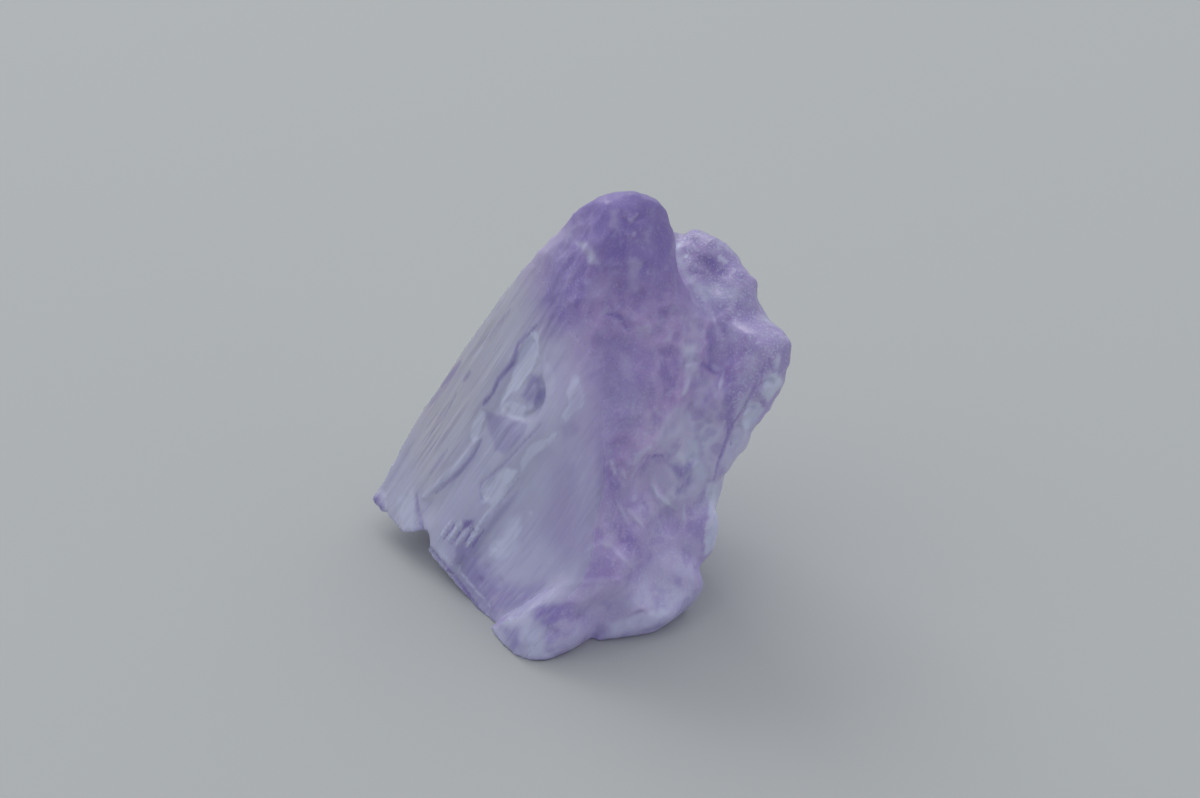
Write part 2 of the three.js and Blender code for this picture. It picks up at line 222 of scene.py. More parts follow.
# Edges that etching has rounded away: a path, how far to each side, and how many passes.
MELTED = {
    "arc over the toe": ([(516, 613), (535, 602), (560, 586), (590, 576), (616, 571)], 1.3, 50),
    "lobe, right edge": ([(631, 575), (663, 589)], 1.3, 40),
    "left corner": ([(379, 499), (386, 507)], 0.9, 25),
    "dome, left edge": ([(595, 224), (574, 252), (557, 266)], 1.3, 40),
    "dome, top edge": ([(603, 195), (626, 191), (648, 191), (662, 204), (671, 222)], 1.2, 40),
    "first ledge": ([(503, 368), (478, 405), (471, 430), (469, 450), (453, 474), (422, 496)], 1.8, 110),
    "second ledge": ([(578, 405), (552, 436), (522, 460), (494, 485), (464, 543)], 2.4, 200),
    "corner, fold": ([(416, 496), (424, 520), (427, 540)], 0.9, 40),
    "chip, lower rim": ([(498, 410), (512, 422), (528, 420), (544, 404), (552, 384)], 1.3, 90),
    "face, right edge": ([(590, 318), (597, 392), (602, 466), (594, 540), (583, 588)], 2.6, 220),
}

# Places filled up again under the big cleavage face: a place, how far round it, and to what level.
FILLS = {
    "chip, middle": ((528, 362), 2.2, 0.1),
    "chip, top": ((530, 344), 1.8, 0.1),
    "chip, left": ((520, 386), 1.8, 0.1),
    "chip, right": ((536, 392), 1.6, 0.1),
}

# Shells broken out of the surface: a place, how far round it, and how deep.
SCOOPS = {
    "shell": ((657, 474), 1.3, 0.35),
    "shell beside it": ((684, 485), 0.9, 0.2),
    "band, low": ((638, 495), 0.9, 0.1),
    "band, middle": ((625, 445), 0.7, 0.12),
    "side, left": ((664, 405), 0.8, 0.2),
    "side, upper left": ((668, 360), 0.9, 0.2),
    "side, upper right": ((712, 360), 0.8, 0.2),
    "band, foot": ((627, 545), 0.8, 0.08),
    "side, foot": ((676, 522), 0.8, 0.08),
    "dome": ((642, 245), 0.8, 0.12),
    "slab": ((703, 270), 0.7, 0.15),
    "tip, shoulder": ((764, 300), 0.7, 0.25),
    "first pit": ((481, 582), 0.28, 0.09),
    "second pit": ((500, 582), 0.28, 0.09),
    "third pit": ((487, 568), 0.2, 0.06),
    "toe": ((552, 634), 0.45, 0.15),
}

# Small flat facets: a place, where the facet looks, how far round, and how deep. Those that look UP
# mirror the window.
UP = (-0.34, -0.6, 0.72)
FACETS = {
    "tip, upper": ((767, 386), (0.6, -0.3, 0.7), 0.5, 0.15),
    "tip, middle": ((750, 411), (0.6, -0.3, 0.7), 0.45, 0.15),
    "tip, lower": ((737, 430), (0.6, -0.2, 0.75), 0.4, 0.12),
    "side, upper": ((692, 362), (0.1, -0.3, 0.9), 0.5, 0.12),
    "side, lower": ((692, 462), (0.3, -0.3, 0.85), 0.5, 0.1),
    "slab, top": ((677, 233), (-0.7, -0.3, 0.6), 0.6, 0.2),
    "lobe, end": ((640, 622), (0.7, -0.6, 0.3), 0.7, 0.1),
    "ledge glint": ((491, 509), UP, 0.2, 0.05),
    "ledge glint, upper": ((486, 497), UP, 0.25, 0.05),
    "ledge glint, lower": ((473, 534), UP, 0.18, 0.04),
    "face glint": ((530, 512), UP, 0.14, 0.04),
    "face glint, lower": ((495, 549), UP, 0.16, 0.04),
    "toe glint": ((548, 629), UP, 0.18, 0.05),
    "toe glint, lower": ((548, 650), UP, 0.18, 0.05),
    "lobe glint": ((586, 622), UP, 0.16, 0.05),
    "side glint": ((722, 380), UP, 0.25, 0.06),
    "heel glint": ((706, 541), UP, 0.22, 0.05),
    "heel glint, upper": ((710, 492), UP, 0.22, 0.05),
    "dome glint": ((634, 234), UP, 0.16, 0.04),
}


class Mark(NamedTuple):
    """A mark on the surface. It rises or sinks, and has its share of milky veils and violet veins.
    Its pale share also paints highlights on lit facets and glints, its violet share shade in creases.
    """

    pixels: tuple
    spread: float
    closed: bool = False
    rise: float = 0
    veil: float = 0
    vein: float = 0


def stroke(*path, reach=0.2, **effect):
    """A mark along a path, this far to each side."""
    return Mark(path, reach, **effect)


def patch(*outline, soft=0.2, **effect):
    """A mark inside an outline, with an edge this soft."""
    return Mark(outline, soft, closed=True, **effect)


# The marks, from the broad ones to the fine.
MARKS = {
    # The cleavage face, ledge by ledge.
    "face, milk": patch(
        (522, 510), (520, 550), (510, 562), (488, 556), (490, 545), (502, 536), (508, 518),
        soft=0.35, veil=0.6,
    ),
    "face, lower violet": patch(
        (452, 545), (482, 540), (484, 560), (500, 584), (542, 586), (530, 612), (488, 614), (460, 580),
        soft=0.6, vein=0.6,
    ),
    "face, right violet": patch(
        (548, 480), (588, 440), (597, 500), (593, 545), (566, 568), (546, 540), soft=0.6, vein=0.2
    ),
    "streak": patch(
        (571, 375), (578, 372), (585, 392), (583, 405), (565, 422), (562, 417), (568, 404), (567, 390),
        soft=0.12, veil=0.6,
    ),
    "streak, shade": patch((560, 426), (576, 419), (579, 430), (562, 441), vein=0.3),
    # The chip's upward facets are painted light, and its hollow is painted shade.
    "chip, upper facet": patch(
        (529, 328), (538, 331), (540, 348), (537, 362), (520, 386), (498, 408), (511, 378), (521, 350),
        soft=0.1, veil=0.8,
    ),
    "chip, right wing": patch(
        (541, 347), (553, 368), (558, 382), (554, 393), (546, 398), (544, 378), veil=0.35
    ),
    "chip, lower facet": patch(
        (500, 402), (512, 399), (527, 407), (524, 422), (512, 420), (498, 409), soft=0.12, veil=0.6
    ),
    "chip, hollow": patch((532, 375), (540, 378), (543, 396), (536, 408), (521, 396), vein=0.6),
    "triangle": patch(
        (485, 411), (499, 415), (527, 424), (524, 434), (505, 455), (496, 450), (490, 433),
        soft=0.15, vein=0.45,
    ),
    # Painted light on the first ledge's riser (cusp, edge), painted shade along the groove at its foot.
    "first ledge, cusp": patch(
        (480, 409), (485, 413), (483, 428), (474, 448), (470, 436), (472, 422), soft=0.12, veil=0.8
    ),
    "first ledge, foot": stroke(
        (536, 326), (518, 345), (512, 364), (498, 380), (493, 394), (484, 404),
        reach=0.22, rise=-0.05, vein=0.75,
    ),
    "first ledge, notch": stroke((491, 396), (484, 405), reach=0.22, vein=0.8),
    "first ledge, edge": stroke(
        (478, 440), (462, 462), (444, 478), (424, 497), reach=0.3, rise=0.06, veil=0.7
    ),
    "first ledge, shade": stroke((482, 440), (472, 458), (458, 474), (436, 493), rise=-0.03, vein=0.5),
    # Painted light on the second ledge: its cliff and facet are lit, and its ridge carries painted glints.
    "second ledge, cliff": patch(
        (558, 431), (556, 441), (534, 456), (520, 476), (519, 461), (527, 448), (541, 439),
        soft=0.12, veil=0.7,
    ),
    "second ledge, facet": patch(
        (505, 467), (519, 470), (512, 484), (492, 504), (482, 502), (482, 491), (494, 480),
        soft=0.15, veil=1,
    ),
    "second ledge, ridge": stroke(
        (519, 476), (500, 499), (484, 517), (470, 538), reach=0.16, rise=0.05, veil=0.9
    ),
    "second ledge, back line": stroke(
        (541, 424), (517, 450), (504, 464), (481, 484), (479, 493), (484, 502),
        reach=0.13, rise=-0.05, vein=0.4,
    ),
    "second ledge, low shade": stroke(
        (518, 492), (503, 510), (490, 526), (480, 540), reach=0.3, vein=0.3
    ),
    "violet spot": patch((461, 519), (475, 519), (470, 530), (463, 530), soft=0.08, vein=0.9),
    "rim, groove": stroke(
        (430, 548), (451, 573), (476, 604), (484, 616), reach=0.25, rise=-0.08, vein=0.8
    ),
    "rim, line": stroke((438, 548), (460, 572), (490, 606), reach=0.15, veil=0.6),
    "corner, milk": patch((394, 494), (414, 494), (418, 530), (404, 531), (397, 515), soft=0.3, veil=0.5),
    "corner, tip": stroke((378, 499), (384, 506), reach=0.7, rise=0.22, vein=0.8),
    "corner, fold": stroke((416, 495), (418, 512), (425, 537), rise=-0.05, vein=0.6),
    "strip, dark edge": stroke((461, 362), (452, 374), (442, 386), reach=0.3, vein=0.5),
    "strip, dark patch": stroke((470, 372), (464, 380), reach=0.25, vein=0.5),
    "strip, dark line": stroke((456, 394), (440, 424), reach=0.14, vein=0.4),
    "strip, low line": stroke((447, 450), (430, 474), vein=0.35),
    "strip, upper lines": stroke((512, 308), (498, 325), (484, 346), reach=0.16, vein=0.4),
    "spots above the ledges": stroke((552, 308), (562, 318), (561, 334), reach=0.28, vein=0.6),
    # The foot.
    "lobe, violet": patch(
        (534, 604), (572, 603), (573, 616), (545, 628), (529, 616), soft=0.25, vein=0.8
    ),
    "toe, violet": patch((500, 627), (520, 627), (521, 646), (512, 652), soft=0.25, vein=0.6),
    "toe, pale": patch((524, 631), (541, 626), (546, 655), (529, 656), soft=0.25, veil=0.5),
    "lobe, right violet": patch(
        (660, 556), (670, 540), (700, 546), (702, 576), (688, 595), (666, 594), soft=0.5, vein=0.35
    ),
    "lobe, low edge": patch(
        (608, 624), (628, 615), (668, 607), (668, 614), (648, 629), (614, 633), veil=0.55
    ),
    "lobe, pale": patch(
        (560, 592), (600, 582), (642, 585), (652, 604), (630, 612), (590, 612), soft=0.4, veil=0.35
    ),
    "lobe, brown spot": patch(
        (600, 603), (606, 599), (616, 602), (613, 609), (607, 613), soft=0.15, vein=0.5
    ),
    "arc, below": patch((532, 608), (546, 592), (558, 586), (556, 600), veil=0.2),
    "arc": stroke(
        (526, 612), (542, 597), (559, 587), (592, 580), (622, 579), reach=0.24, rise=0.03, veil=0.25
    ),
    "apex": stroke((585, 552), (600, 542), (611, 546), (635, 570), reach=0.22, rise=0.02, veil=0.35),
    # Painted glint on the spur at the outline, over a small raised tip.
    "spur": stroke((485, 616), (487, 624), rise=0.14, veil=1),
    "toe, dark": stroke((557, 631), (550, 640), reach=0.3, vein=0.5),
    # The heel's pale edge is partly milky stone and partly painted sparkle.
    "heel": patch(
        (706, 483), (720, 483), (722, 520), (718, 545), (703, 556), (707, 530), (709, 510),
        soft=0.12, veil=0.9,
    ),
    "heel, shade": stroke((702, 500), (705, 522), (698, 542), vein=0.5),
    # The band of deep colour beside the face.
    "band": patch(
        (590, 330), (597, 350), (591, 372), (598, 400), (603, 440), (600, 470), (601, 505), (610, 535),
        (628, 560), (640, 545), (634, 515), (625, 480), (626, 450), (644, 415), (660, 385), (655, 350),
        (625, 330),
        soft=0.8, vein=0.6,
    ),
    "band, low patch": patch(
        (610, 521), (636, 528), (638, 541), (632, 556), (621, 548), soft=0.25, vein=0.8
    ),
    "band, middle patch": patch((638, 494), (648, 498), (648, 512), (641, 504), soft=0.15, vein=0.7),
    "band, left patch": patch(
        (601, 462), (611, 470), (620, 480), (621, 494), (608, 488), soft=0.15, vein=0.75
    ),
    "band, upper patch": patch((636, 345), (656, 352), (656, 396), (647, 398), soft=0.25, vein=0.6),
    "band, gap": patch((619, 352), (631, 358), (633, 380), (622, 374), soft=0.25, veil=0.25),
    "rib": stroke((611, 460), (615, 473), reach=0.15, rise=0.08, veil=0.7),
    "second rib": stroke((621, 469), (625, 478), reach=0.15, rise=0.08, veil=0.7),
    "third rib": stroke((627, 509), (643, 526), rise=0.06, veil=0.4),
    "fourth rib": stroke((616, 500), (628, 524), rise=0.06, veil=0.3),
    # The broken right side.
    "side, light": patch(
        (668, 409), (681, 405), (690, 416), (688, 431), (664, 446), (655, 440), (658, 430), veil=0.5
    ),
    "side, pale patch": patch(
        (684, 437), (697, 441), (700, 456), (707, 478), (699, 481), (686, 456), soft=0.15, veil=0.7
    ),
    "side, dark patch": patch(
        (660, 350), (672, 346), (680, 362), (677, 390), (664, 394), (659, 372), vein=0.65
    ),
    "side, milk": patch(
        (684, 346), (699, 342), (697, 360), (698, 376), (687, 384), (684, 366), soft=0.25, veil=0.7
    ),
    "side, milky tail": stroke((690, 380), (682, 396), rise=0.06, veil=0.8),
    "side, brown spot": patch((700, 377), (716, 380), (718, 396), (706, 402), (694, 392), veil=0.25),
    "side, deep strip": patch(
        (723, 380), (737, 368), (738, 396), (734, 424), (729, 442), (723, 416), vein=0.7
    ),
    "side, hook": stroke((702, 364), (710, 368), (718, 374), reach=0.25, rise=-0.06, vein=0.7),
    "side, lilac": patch((702, 345), (722, 342), (728, 356), (712, 364), vein=0.3),
    # Painted glint along the side's streak.
    "side, streak": stroke((724, 372), (719, 388), reach=0.18, rise=0.08, veil=1),
    "side, line": stroke((725, 421), (712, 443), reach=0.15, rise=0.06, veil=0.7),
    "shell, grey": patch((648, 468), (662, 460), (669, 470), (664, 485), (654, 482), veil=0.3),
    "shell, deep": patch(
        (670, 465), (694, 461), (692, 480), (686, 496), (675, 494), (678, 481), vein=0.75
    ),
    "shell, upper rim": stroke((634, 468), (637, 456), (650, 447), reach=0.3, rise=0.1, veil=0.55),
    "shell, shade": stroke((642, 468), (650, 457), (662, 456), reach=0.26, rise=-0.1, vein=0.8),
    "shell, lower rim": stroke((651, 482), (657, 496), (676, 509), reach=0.22, rise=0.14, veil=0.8),
    "side, low spot": stroke((656, 508), (668, 514), (680, 522), reach=0.3, vein=0.5),
    "side, low line": stroke((684, 505), (685, 524), reach=0.15, rise=0.05, veil=0.6),
    # The slab behind and its tip.
    "slab, rim": patch(
        (673, 243), (681, 242), (684, 262), (691, 278), (712, 294), (712, 306), (694, 290), (680, 268),
        soft=0.15, veil=0.6,
    ),
    "slab, milk": patch((694, 284), (735, 286), (741, 296), (730, 303), (712, 304), soft=0.3, veil=0.45),
    "slab, dark dots": patch(
        (690, 250), (701, 247), (707, 258), (702, 268), (693, 264), soft=0.3, vein=0.45
    ),
    "slab, dark": patch((694, 274), (716, 276), (712, 285), (697, 281), soft=0.12, vein=0.55),
    "slab, dark line": stroke((690, 270), (706, 275), reach=0.14, rise=-0.06, vein=0.8),
    # Painted glints on the slab.
    "slab, fleck": stroke((719, 257), (726, 262), veil=0.9),
    "slab, dot": stroke((686, 256), reach=0.18, veil=1),
    "slab, foot": patch((728, 328), (742, 330), (739, 346), (728, 342), soft=0.25, veil=0.4),
    "slab, shoulder": stroke((756, 281), reach=0.5, rise=0.15),
    "tip, deep": patch(
        (746, 326), (765, 322), (790, 342), (792, 366), (784, 382), (779, 372), (781, 358), (772, 348),
        (752, 342),
        vein=0.45,
    ),
    "tip, pale edge": patch((759, 314), (770, 315), (783, 328), (766, 323), soft=0.12, veil=0.5),
    "tip, inner strip": patch(
        (745, 352), (757, 354), (756, 372), (746, 388), (742, 376), soft=0.15, veil=0.35
    ),
    # The bright panes of the tip are painted light, where light shines through the thin edge.
    "tip, top pane": patch((777, 353), (781, 360), (778, 371), (773, 368), soft=0.07, veil=0.9),
    "tip, long pane": patch(
        (770, 372), (779, 373), (783, 382), (768, 402), (761, 394), (763, 381), soft=0.08, veil=1
    ),
    "tip, low pane": patch(
        (750, 401), (759, 401), (764, 410), (756, 424), (746, 434), (741, 426), (744, 412),
        soft=0.08, veil=1,
    ),
    "tip, side pane": patch(
        (738, 403), (750, 388), (753, 393), (742, 410), (735, 420), soft=0.08, veil=0.6
    ),
    "tip, lowest pane": patch(
        (734, 420), (742, 426), (748, 438), (736, 456), (731, 446), soft=0.12, veil=0.5
    ),
    "slab, low edge": patch((729, 440), (738, 450), (728, 472), (722, 462), soft=0.12, veil=0.4),
    "tip, frame": stroke(
        (772, 352), (764, 368), (752, 392), (742, 412), (733, 424), (731, 444),
        reach=0.15, rise=-0.05, vein=0.9,
    ),
    "tip, bar": stroke((760, 398), (764, 408), reach=0.12, rise=-0.04, vein=0.9),
    "tip, dark thread": stroke((745, 350), (736, 360), (728, 370), vein=0.6),
    "slab, crease": stroke(
        (731, 424), (726, 442), (719, 462), (714, 480), reach=0.18, rise=-0.06, vein=0.85
    ),
    # The dome, and the slope under it.
    "dome, left slope": patch(
        (540, 300), (552, 250), (588, 208), (604, 240), (600, 288), (582, 326), (552, 334),
        soft=0.9, vein=0.85,
    ),
    "dome, left corner": stroke((573, 212), (581, 205), reach=1.2, rise=-0.12),
    "dome, right corner": stroke((650, 191), reach=0.8, rise=-0.18),
    "dome, left violet": patch(
        (592, 201), (606, 194), (609, 216), (608, 231), (595, 238), (589, 222), soft=0.25, vein=0.85
    ),
    "dome, top": patch(
        (606, 194), (645, 190), (664, 200), (673, 215), (670, 232), (662, 222), (640, 206), (612, 208),
        soft=0.25, vein=0.75,
    ),
    "dome, deep side": patch(
        (652, 280), (684, 276), (714, 316), (703, 319), (682, 299), (654, 296), soft=0.35, vein=0.45
    ),
    "dome, pale band": patch((628, 256), (640, 262), (637, 292), (629, 288), veil=0.35),
    "dome, pale slope": patch((586, 280), (612, 282), (610, 298), (588, 302), soft=0.35, veil=0.25),
    "dome, dark spots": patch(
        (557, 262), (566, 257), (571, 267), (565, 285), (558, 280), soft=0.15, vein=0.65
    ),
    "dome, low spot": stroke((583, 261), (586, 266), reach=0.25, vein=0.7),
    "dome, fleck": patch(
        (577, 243), (586, 242), (592, 251), (598, 263), (591, 263), (584, 253), soft=0.18, veil=0.65
    ),
    "dome, pink": patch((609, 212), (618, 210), (618, 223), (610, 226), soft=0.15, veil=0.25),
    "dome, fork": stroke((625, 216), (631, 221), (637, 214), reach=0.12, rise=0.07, veil=0.45),
    "dome, dash": stroke((635, 221), (649, 215), reach=0.22, rise=-0.07, vein=0.9),
    "dome, notch": stroke((622, 211), (624, 221), reach=0.18, rise=-0.06, vein=0.8),
    # Painted glint on the dome.
    "dome, dot": stroke((634, 234), reach=0.18, veil=0.6),
    "dome, right dot": stroke((658, 271), reach=0.25, vein=0.7),
    "line under the dome": stroke((609, 315), (619, 317), (628, 330), reach=0.3, rise=-0.08, vein=0.85),
    "second line under the dome": stroke((573, 311), (592, 312), vein=0.6),
}

# Short teeth at the foot of the second ledge, with gaps between them.
TEETH = 4
TOOTH = ((438, 540), (452, 520))
TOOTH_STEP = (9, 3)


def toothed(steps):
    """The first tooth's pixels, moved along by some steps."""
    return [(across + steps * TOOTH_STEP[0], down + steps * TOOTH_STEP[1]) for across, down in TOOTH]


for tooth in range(TEETH):
    MARKS[f"tooth {tooth + 1}"] = stroke(*toothed(tooth), reach=0.12, rise=0.08, veil=0.9)
    MARKS[f"gap {tooth + 1}"] = stroke(*toothed(tooth + 0.5), reach=0.12, rise=-0.05, vein=0.9)


# ---- The crystal


DOUBLES = 0.001  # mm, under which two points of the solid are one
SLIVER = 0.3  # of the mesh size, under which an edge is closed up


def even_mesh(node, face_size):
    """An even, closed mesh of a CAD node, in millimetres, without the specks that a remesh can leave."""
    solid = bmesh.new()
    solid.from_mesh(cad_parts[node].data)
    bmesh.ops.remove_doubles(solid, verts=solid.verts, dist=DOUBLES * MM)
    bmesh.ops.scale(solid, verts=solid.verts, vec=(1 / MM,) * 3)
    coarse = bpy.data.meshes.new("coarse")
    solid.to_mesh(coarse)
    solid.free()
    holder = bpy.data.objects.new("coarse", coarse)
    bpy.context.scene.collection.objects.link(holder)
    remesh = holder.modifiers.new("even", "REMESH")
    remesh.mode = "VOXEL"
    remesh.voxel_size = face_size / MM
    remesh.adaptivity = 0
    evaluated = holder.evaluated_get(bpy.context.evaluated_depsgraph_get())
    fine = bpy.data.meshes.new_from_object(evaluated)
    bpy.data.objects.remove(holder)
    bpy.data.meshes.remove(coarse)
    joined = bmesh.new()
    joined.from_mesh(fine)
    bmesh.ops.remove_doubles(joined, verts=joined.verts, dist=SLIVER * face_size / MM)
    body, ahead = set(), [max(joined.verts, key=lambda vert: vert.co.z)]
    while ahead:
        vert = ahead.pop()
        if vert not in body:
            body.add(vert)
            ahead += [edge.other_vert(vert) for edge in vert.link_edges]
    specks = [vert for vert in joined.verts if vert not in body]
    bmesh.ops.delete(joined, geom=specks, context="VERTS")
    joined.to_mesh(fine)
    joined.free()
    return fine


def rows_of(items, field):
    """A vector of each of a mesh's items, such as its points' places, as an array."""
    values = np.empty(len(items) * 3)
    items.foreach_get(field, values)
    return values.reshape(-1, 3)


def smooth_step(low, high, values):
    t = np.clip((values - low) / (high - low), 0, 1)
    return t * t * (3 - 2 * t)


SEED_STEP = 17.31  # how far each seed moves the noise along
VECTOR_SEED = 7  # vector noise starts from the clock without one, and differs each run


def wave_field(points, size, seed):
    """Smooth noise from about -1 to 1, with features of the given size on each axis."""
    scaled = points / np.array(size) + seed * SEED_STEP
    return np.array([noise.noise(p) for p in scaled.tolist()])


def scallop_field(points, size, seed):
    """Shell-shaped hollows that meet in sharp ridges: 0 in their middles, about 1 on the ridges."""
    noise.seed_set(VECTOR_SEED)
    scaled = points / size + seed * SEED_STEP
    bent = scaled + 0.35 * np.array([noise.noise_vector(p) for p in (scaled * 0.8).tolist()])
    return np.array([noise.voronoi(p)[0][0] for p in bent.tolist()]) ** 2 / 0.6


DEPTH = 12  # mm that the crystal reaches from its middle, towards the camera or away
GRAZING = 0.2  # cosine to the line of sight under which a point shows only in part
CLEAR = 0.2  # mm that a line of sight starts off the surface
LAID_STEP = 2  # pixels, a tenth of a millimetre
TAPER = 0.45  # share of its reach that a stroke keeps at its ends
CORE = 0.2  # share of its reach over which a stroke is whole
FILLED = 0.6  # share of its reach over which a hollow is filled to its level
FLAT = 0.75  # share of its reach over which a facet is flat
RAGGED = 0.14  # mm by which the edge of a patch wanders


class Surface:
    """The even mesh, in the crystal's axes and in millimetres, with what works it over."""

    def __init__(self, mesh):
        self.mesh = mesh
        self.axes = np.array(AXES)
        self.points = (rows_of(mesh.vertices, "co") - np.array(FACE_END)) @ self.axes
        ends = np.empty(len(mesh.edges) * 2, dtype=np.int64)
        mesh.edges.foreach_get("vertices", ends)
        self.ends = ends.reshape(-1, 2)
        self.faces = [tuple(face.vertices) for face in mesh.polygons]
        self.eye = Vector(((TARGET + AWAY * CAMERA_DISTANCE) / MM - FACE_END) @ AXES)
        self.settle()

    def settle(self):
        """Writes the points back, and reads the heights, the normals and the skin again."""
        world = self.points @ self.axes.T + np.array(FACE_END)
        world[:, 2] = np.maximum(world[:, 2], 0)
        self.heights = world[:, 2]
        self.mesh.vertices.foreach_set("co", world.ravel())
        self.mesh.update()
        self.normals = rows_of(self.mesh.vertex_normals, "vector") @ self.axes
        self.skin = BVHTree.FromPolygons(self.points.tolist(), self.faces)

    def melt(self, mask, passes, share=0.5):
        """Draws the points under a mask towards the middle of their neighbours, this share of the way."""
        first, second = self.ends.T
        count = len(self.points)
        neighbours = np.bincount(first, minlength=count) + np.bincount(second, minlength=count)
        for _ in range(passes):
            for axis in range(3):
                values = self.points[:, axis]
                total = np.bincount(first, values[second], count)
                total += np.bincount(second, values[first], count)
                self.points[:, axis] += share * mask * (total / neighbours - values)

    def iron(self, folded=0.6, rounds=3, passes=8):
        """Smooths the few faces that the work has folded: their cosine to the surface around is low."""
        corners = np.concatenate(self.faces)
        owners = np.repeat(np.arange(len(self.faces)), [len(face) for face in self.faces])
        for _ in range(rounds):
            facing = rows_of(self.mesh.polygons, "normal")[owners]
            around = rows_of(self.mesh.vertex_normals, "vector")[corners]
            turned = np.einsum("ij,ij->i", facing, around) < folded
            mask = np.zeros(len(self.points))
            mask[corners[turned]] = 1
            self.melt(mask, passes)
            self.settle()

    def seen(self, pixel):
        """The point of the surface that shows at a pixel, or for one just outside it the nearest."""
        direction = sight(pixel) @ AXES
        hit = self.skin.ray_cast(self.eye, direction)[0]
        if hit is None:
            middle = CAMERA_DISTANCE / MM
            along = (self.eye + direction * (middle + step) for step in range(-DEPTH, DEPTH + 1))
            hit = min((self.skin.find_nearest(place) for place in along), key=lambda found: found[3])[0]
        return np.array(hit)

    def look(self):
        """Keeps the pixel at which each point shows, and how far it shows, from 0 to 1."""
        from_eye = self.points - np.array(self.eye)
        across, rise, back = (from_eye @ np.array(side @ AXES) for side in (RIGHT, HIGH, AWAY))
        self.pixels = np.stack(
            (FRAME[0] / 2 - FOCAL * across / back, FRAME[1] / 2 + FOCAL * rise / back), axis=1
        )
        to_eye = -from_eye / np.linalg.norm(from_eye, axis=1)[:, None]
        self.shows = smooth_step(0, GRAZING, np.einsum("ij,ij->i", self.normals, to_eye))
        for i in np.flatnonzero(self.shows):
            if self.skin.ray_cast(self.points[i] + CLEAR * to_eye[i], to_eye[i])[0] is not None:
                self.shows[i] = 0

    def inside(self, outline, soft, ragged):
        """How far each point that shows lies inside an outline of pixels, from 0 to 1."""
        corners = np.array(outline, dtype=float)
        margin = 2 * soft / PIXEL
        close = (self.shows > 0) & np.all(
            (self.pixels > corners.min(0) - margin) & (self.pixels < corners.max(0) + margin), axis=1
        )
        here = self.pixels[close]
        nearest = np.full(len(here), np.inf)
        within = np.zeros(len(here), dtype=bool)
        for start, end in zip(corners, np.roll(corners, -1, axis=0)):
            side = end - start
            t = np.clip((here - start) @ side / (side @ side), 0, 1)
            nearest = np.minimum(nearest, np.linalg.norm(here - start - t[:, None] * side, axis=1))
            spans = (start[1] > here[:, 1]) != (end[1] > here[:, 1])
            if side[1]:
                within ^= spans & (here[:, 0] < start[0] + (here[:, 1] - start[1]) * side[0] / side[1])
        deep = np.where(within, nearest, -nearest) * PIXEL + ragged[close]
        values = np.zeros(len(self.points))
        values[close] = smooth_step(-soft, soft, deep) * self.shows[close]
        return values

    def laid(self, path):
        """Points every tenth of a millimetre or so along a path of pixels, on the surface."""
        spread = [path[0]]
        for start, end in zip(path, path[1:]):
            steps = math.ceil(math.dist(start, end) / LAID_STEP)
            spread += [
                (start[0] + (end[0] - start[0]) * i / steps, start[1] + (end[1] - start[1]) * i / steps)
                for i in range(1, steps + 1)
            ]
        return np.array([self.seen(pixel) for pixel in spread])

    def near(self, path, reach):
        """How near each point is to a path: 1 on it, and 0 beyond its reach, which tapers at its ends."""
        samples = self.laid(path)
        close = np.all(
            (self.points > samples.min(0) - reach) & (self.points < samples.max(0) + reach), axis=1
        )
        here = self.points[close]
        nearest = np.ones(len(here))
        for i, sample in enumerate(samples):
            full = TAPER + (1 - TAPER) * math.sin(math.pi * (i + 0.5) / len(samples))
            away = np.linalg.norm(here - sample, axis=1) / (reach * full)
            nearest = np.minimum(nearest, away)
        values = np.zeros(len(self.points))
        values[close] = 1 - smooth_step(CORE, 1, nearest)
        return values

    def lift(self, height):
        self.points += self.normals * height[:, None]

    def scoop(self, at, reach, depth):
        """Takes out a shallow shell with a sharp rim."""
        away = np.linalg.norm(self.points - self.seen(at), axis=1) / reach
        self.lift(-depth * np.clip(1 - away**2, 0, 1))

    def fill(self, at, reach, level):
        """Brings a hollow of the big face up to a level."""
        away = np.linalg.norm(self.points - self.seen(at), axis=1) / reach
        low = np.clip(self.points[:, 1] - level, 0, None)
        self.points[:, 1] -= low * (1 - smooth_step(FILLED, 1, away))

    def flatten(self, at, outward, reach, depth):
        """Cleaves a small flat facet, this deep under the point."""
        normal = np.array(outward) / np.linalg.norm(outward)
        middle = self.seen(at)
        proud = np.clip((self.points - middle) @ normal + depth, 0, None)
        away = np.linalg.norm(self.points - middle, axis=1) / reach
        self.points -= normal * (proud * (1 - smooth_step(FLAT, 1, away)))[:, None]

    def note(self, name, values):
        kept = self.mesh.attributes.new(name, "FLOAT", "POINT")
        kept.data.foreach_set("value", np.clip(values, 0, 1))


# Cosines between which a face counts as cleaved: it may turn from its own direction by 18 degrees, and
# at 41 degrees it is etched.
CLEAVED = (0.75, 0.95)


def faces_of(surface):
    """How far each point lies on the cleaved faces and on the resting patch, from 0 to 1."""
    x, y, z = surface.points.T
    leftward, outward, _ = -surface.normals.T
    front = smooth_step(*CLEAVED, outward) * (1 - smooth_step(1.0, 1.8, y))
    left = smooth_step(*CLEAVED, leftward)
    ledges = (1 - smooth_step(1.2, 1.8, y)) * (1 - smooth_step(7.5, 8.5, x))
    ledges *= smooth_step(0.2, 0.4, outward) * smooth_step(2.5, 3.5, z)
    broken_top = smooth_step(16, 20, z)
    cleaved = np.clip(front + left + ledges, 0, 1) * (1 - broken_top)
    resting = 1 - smooth_step(0.05, 0.5, surface.heights)
    return cleaved, resting


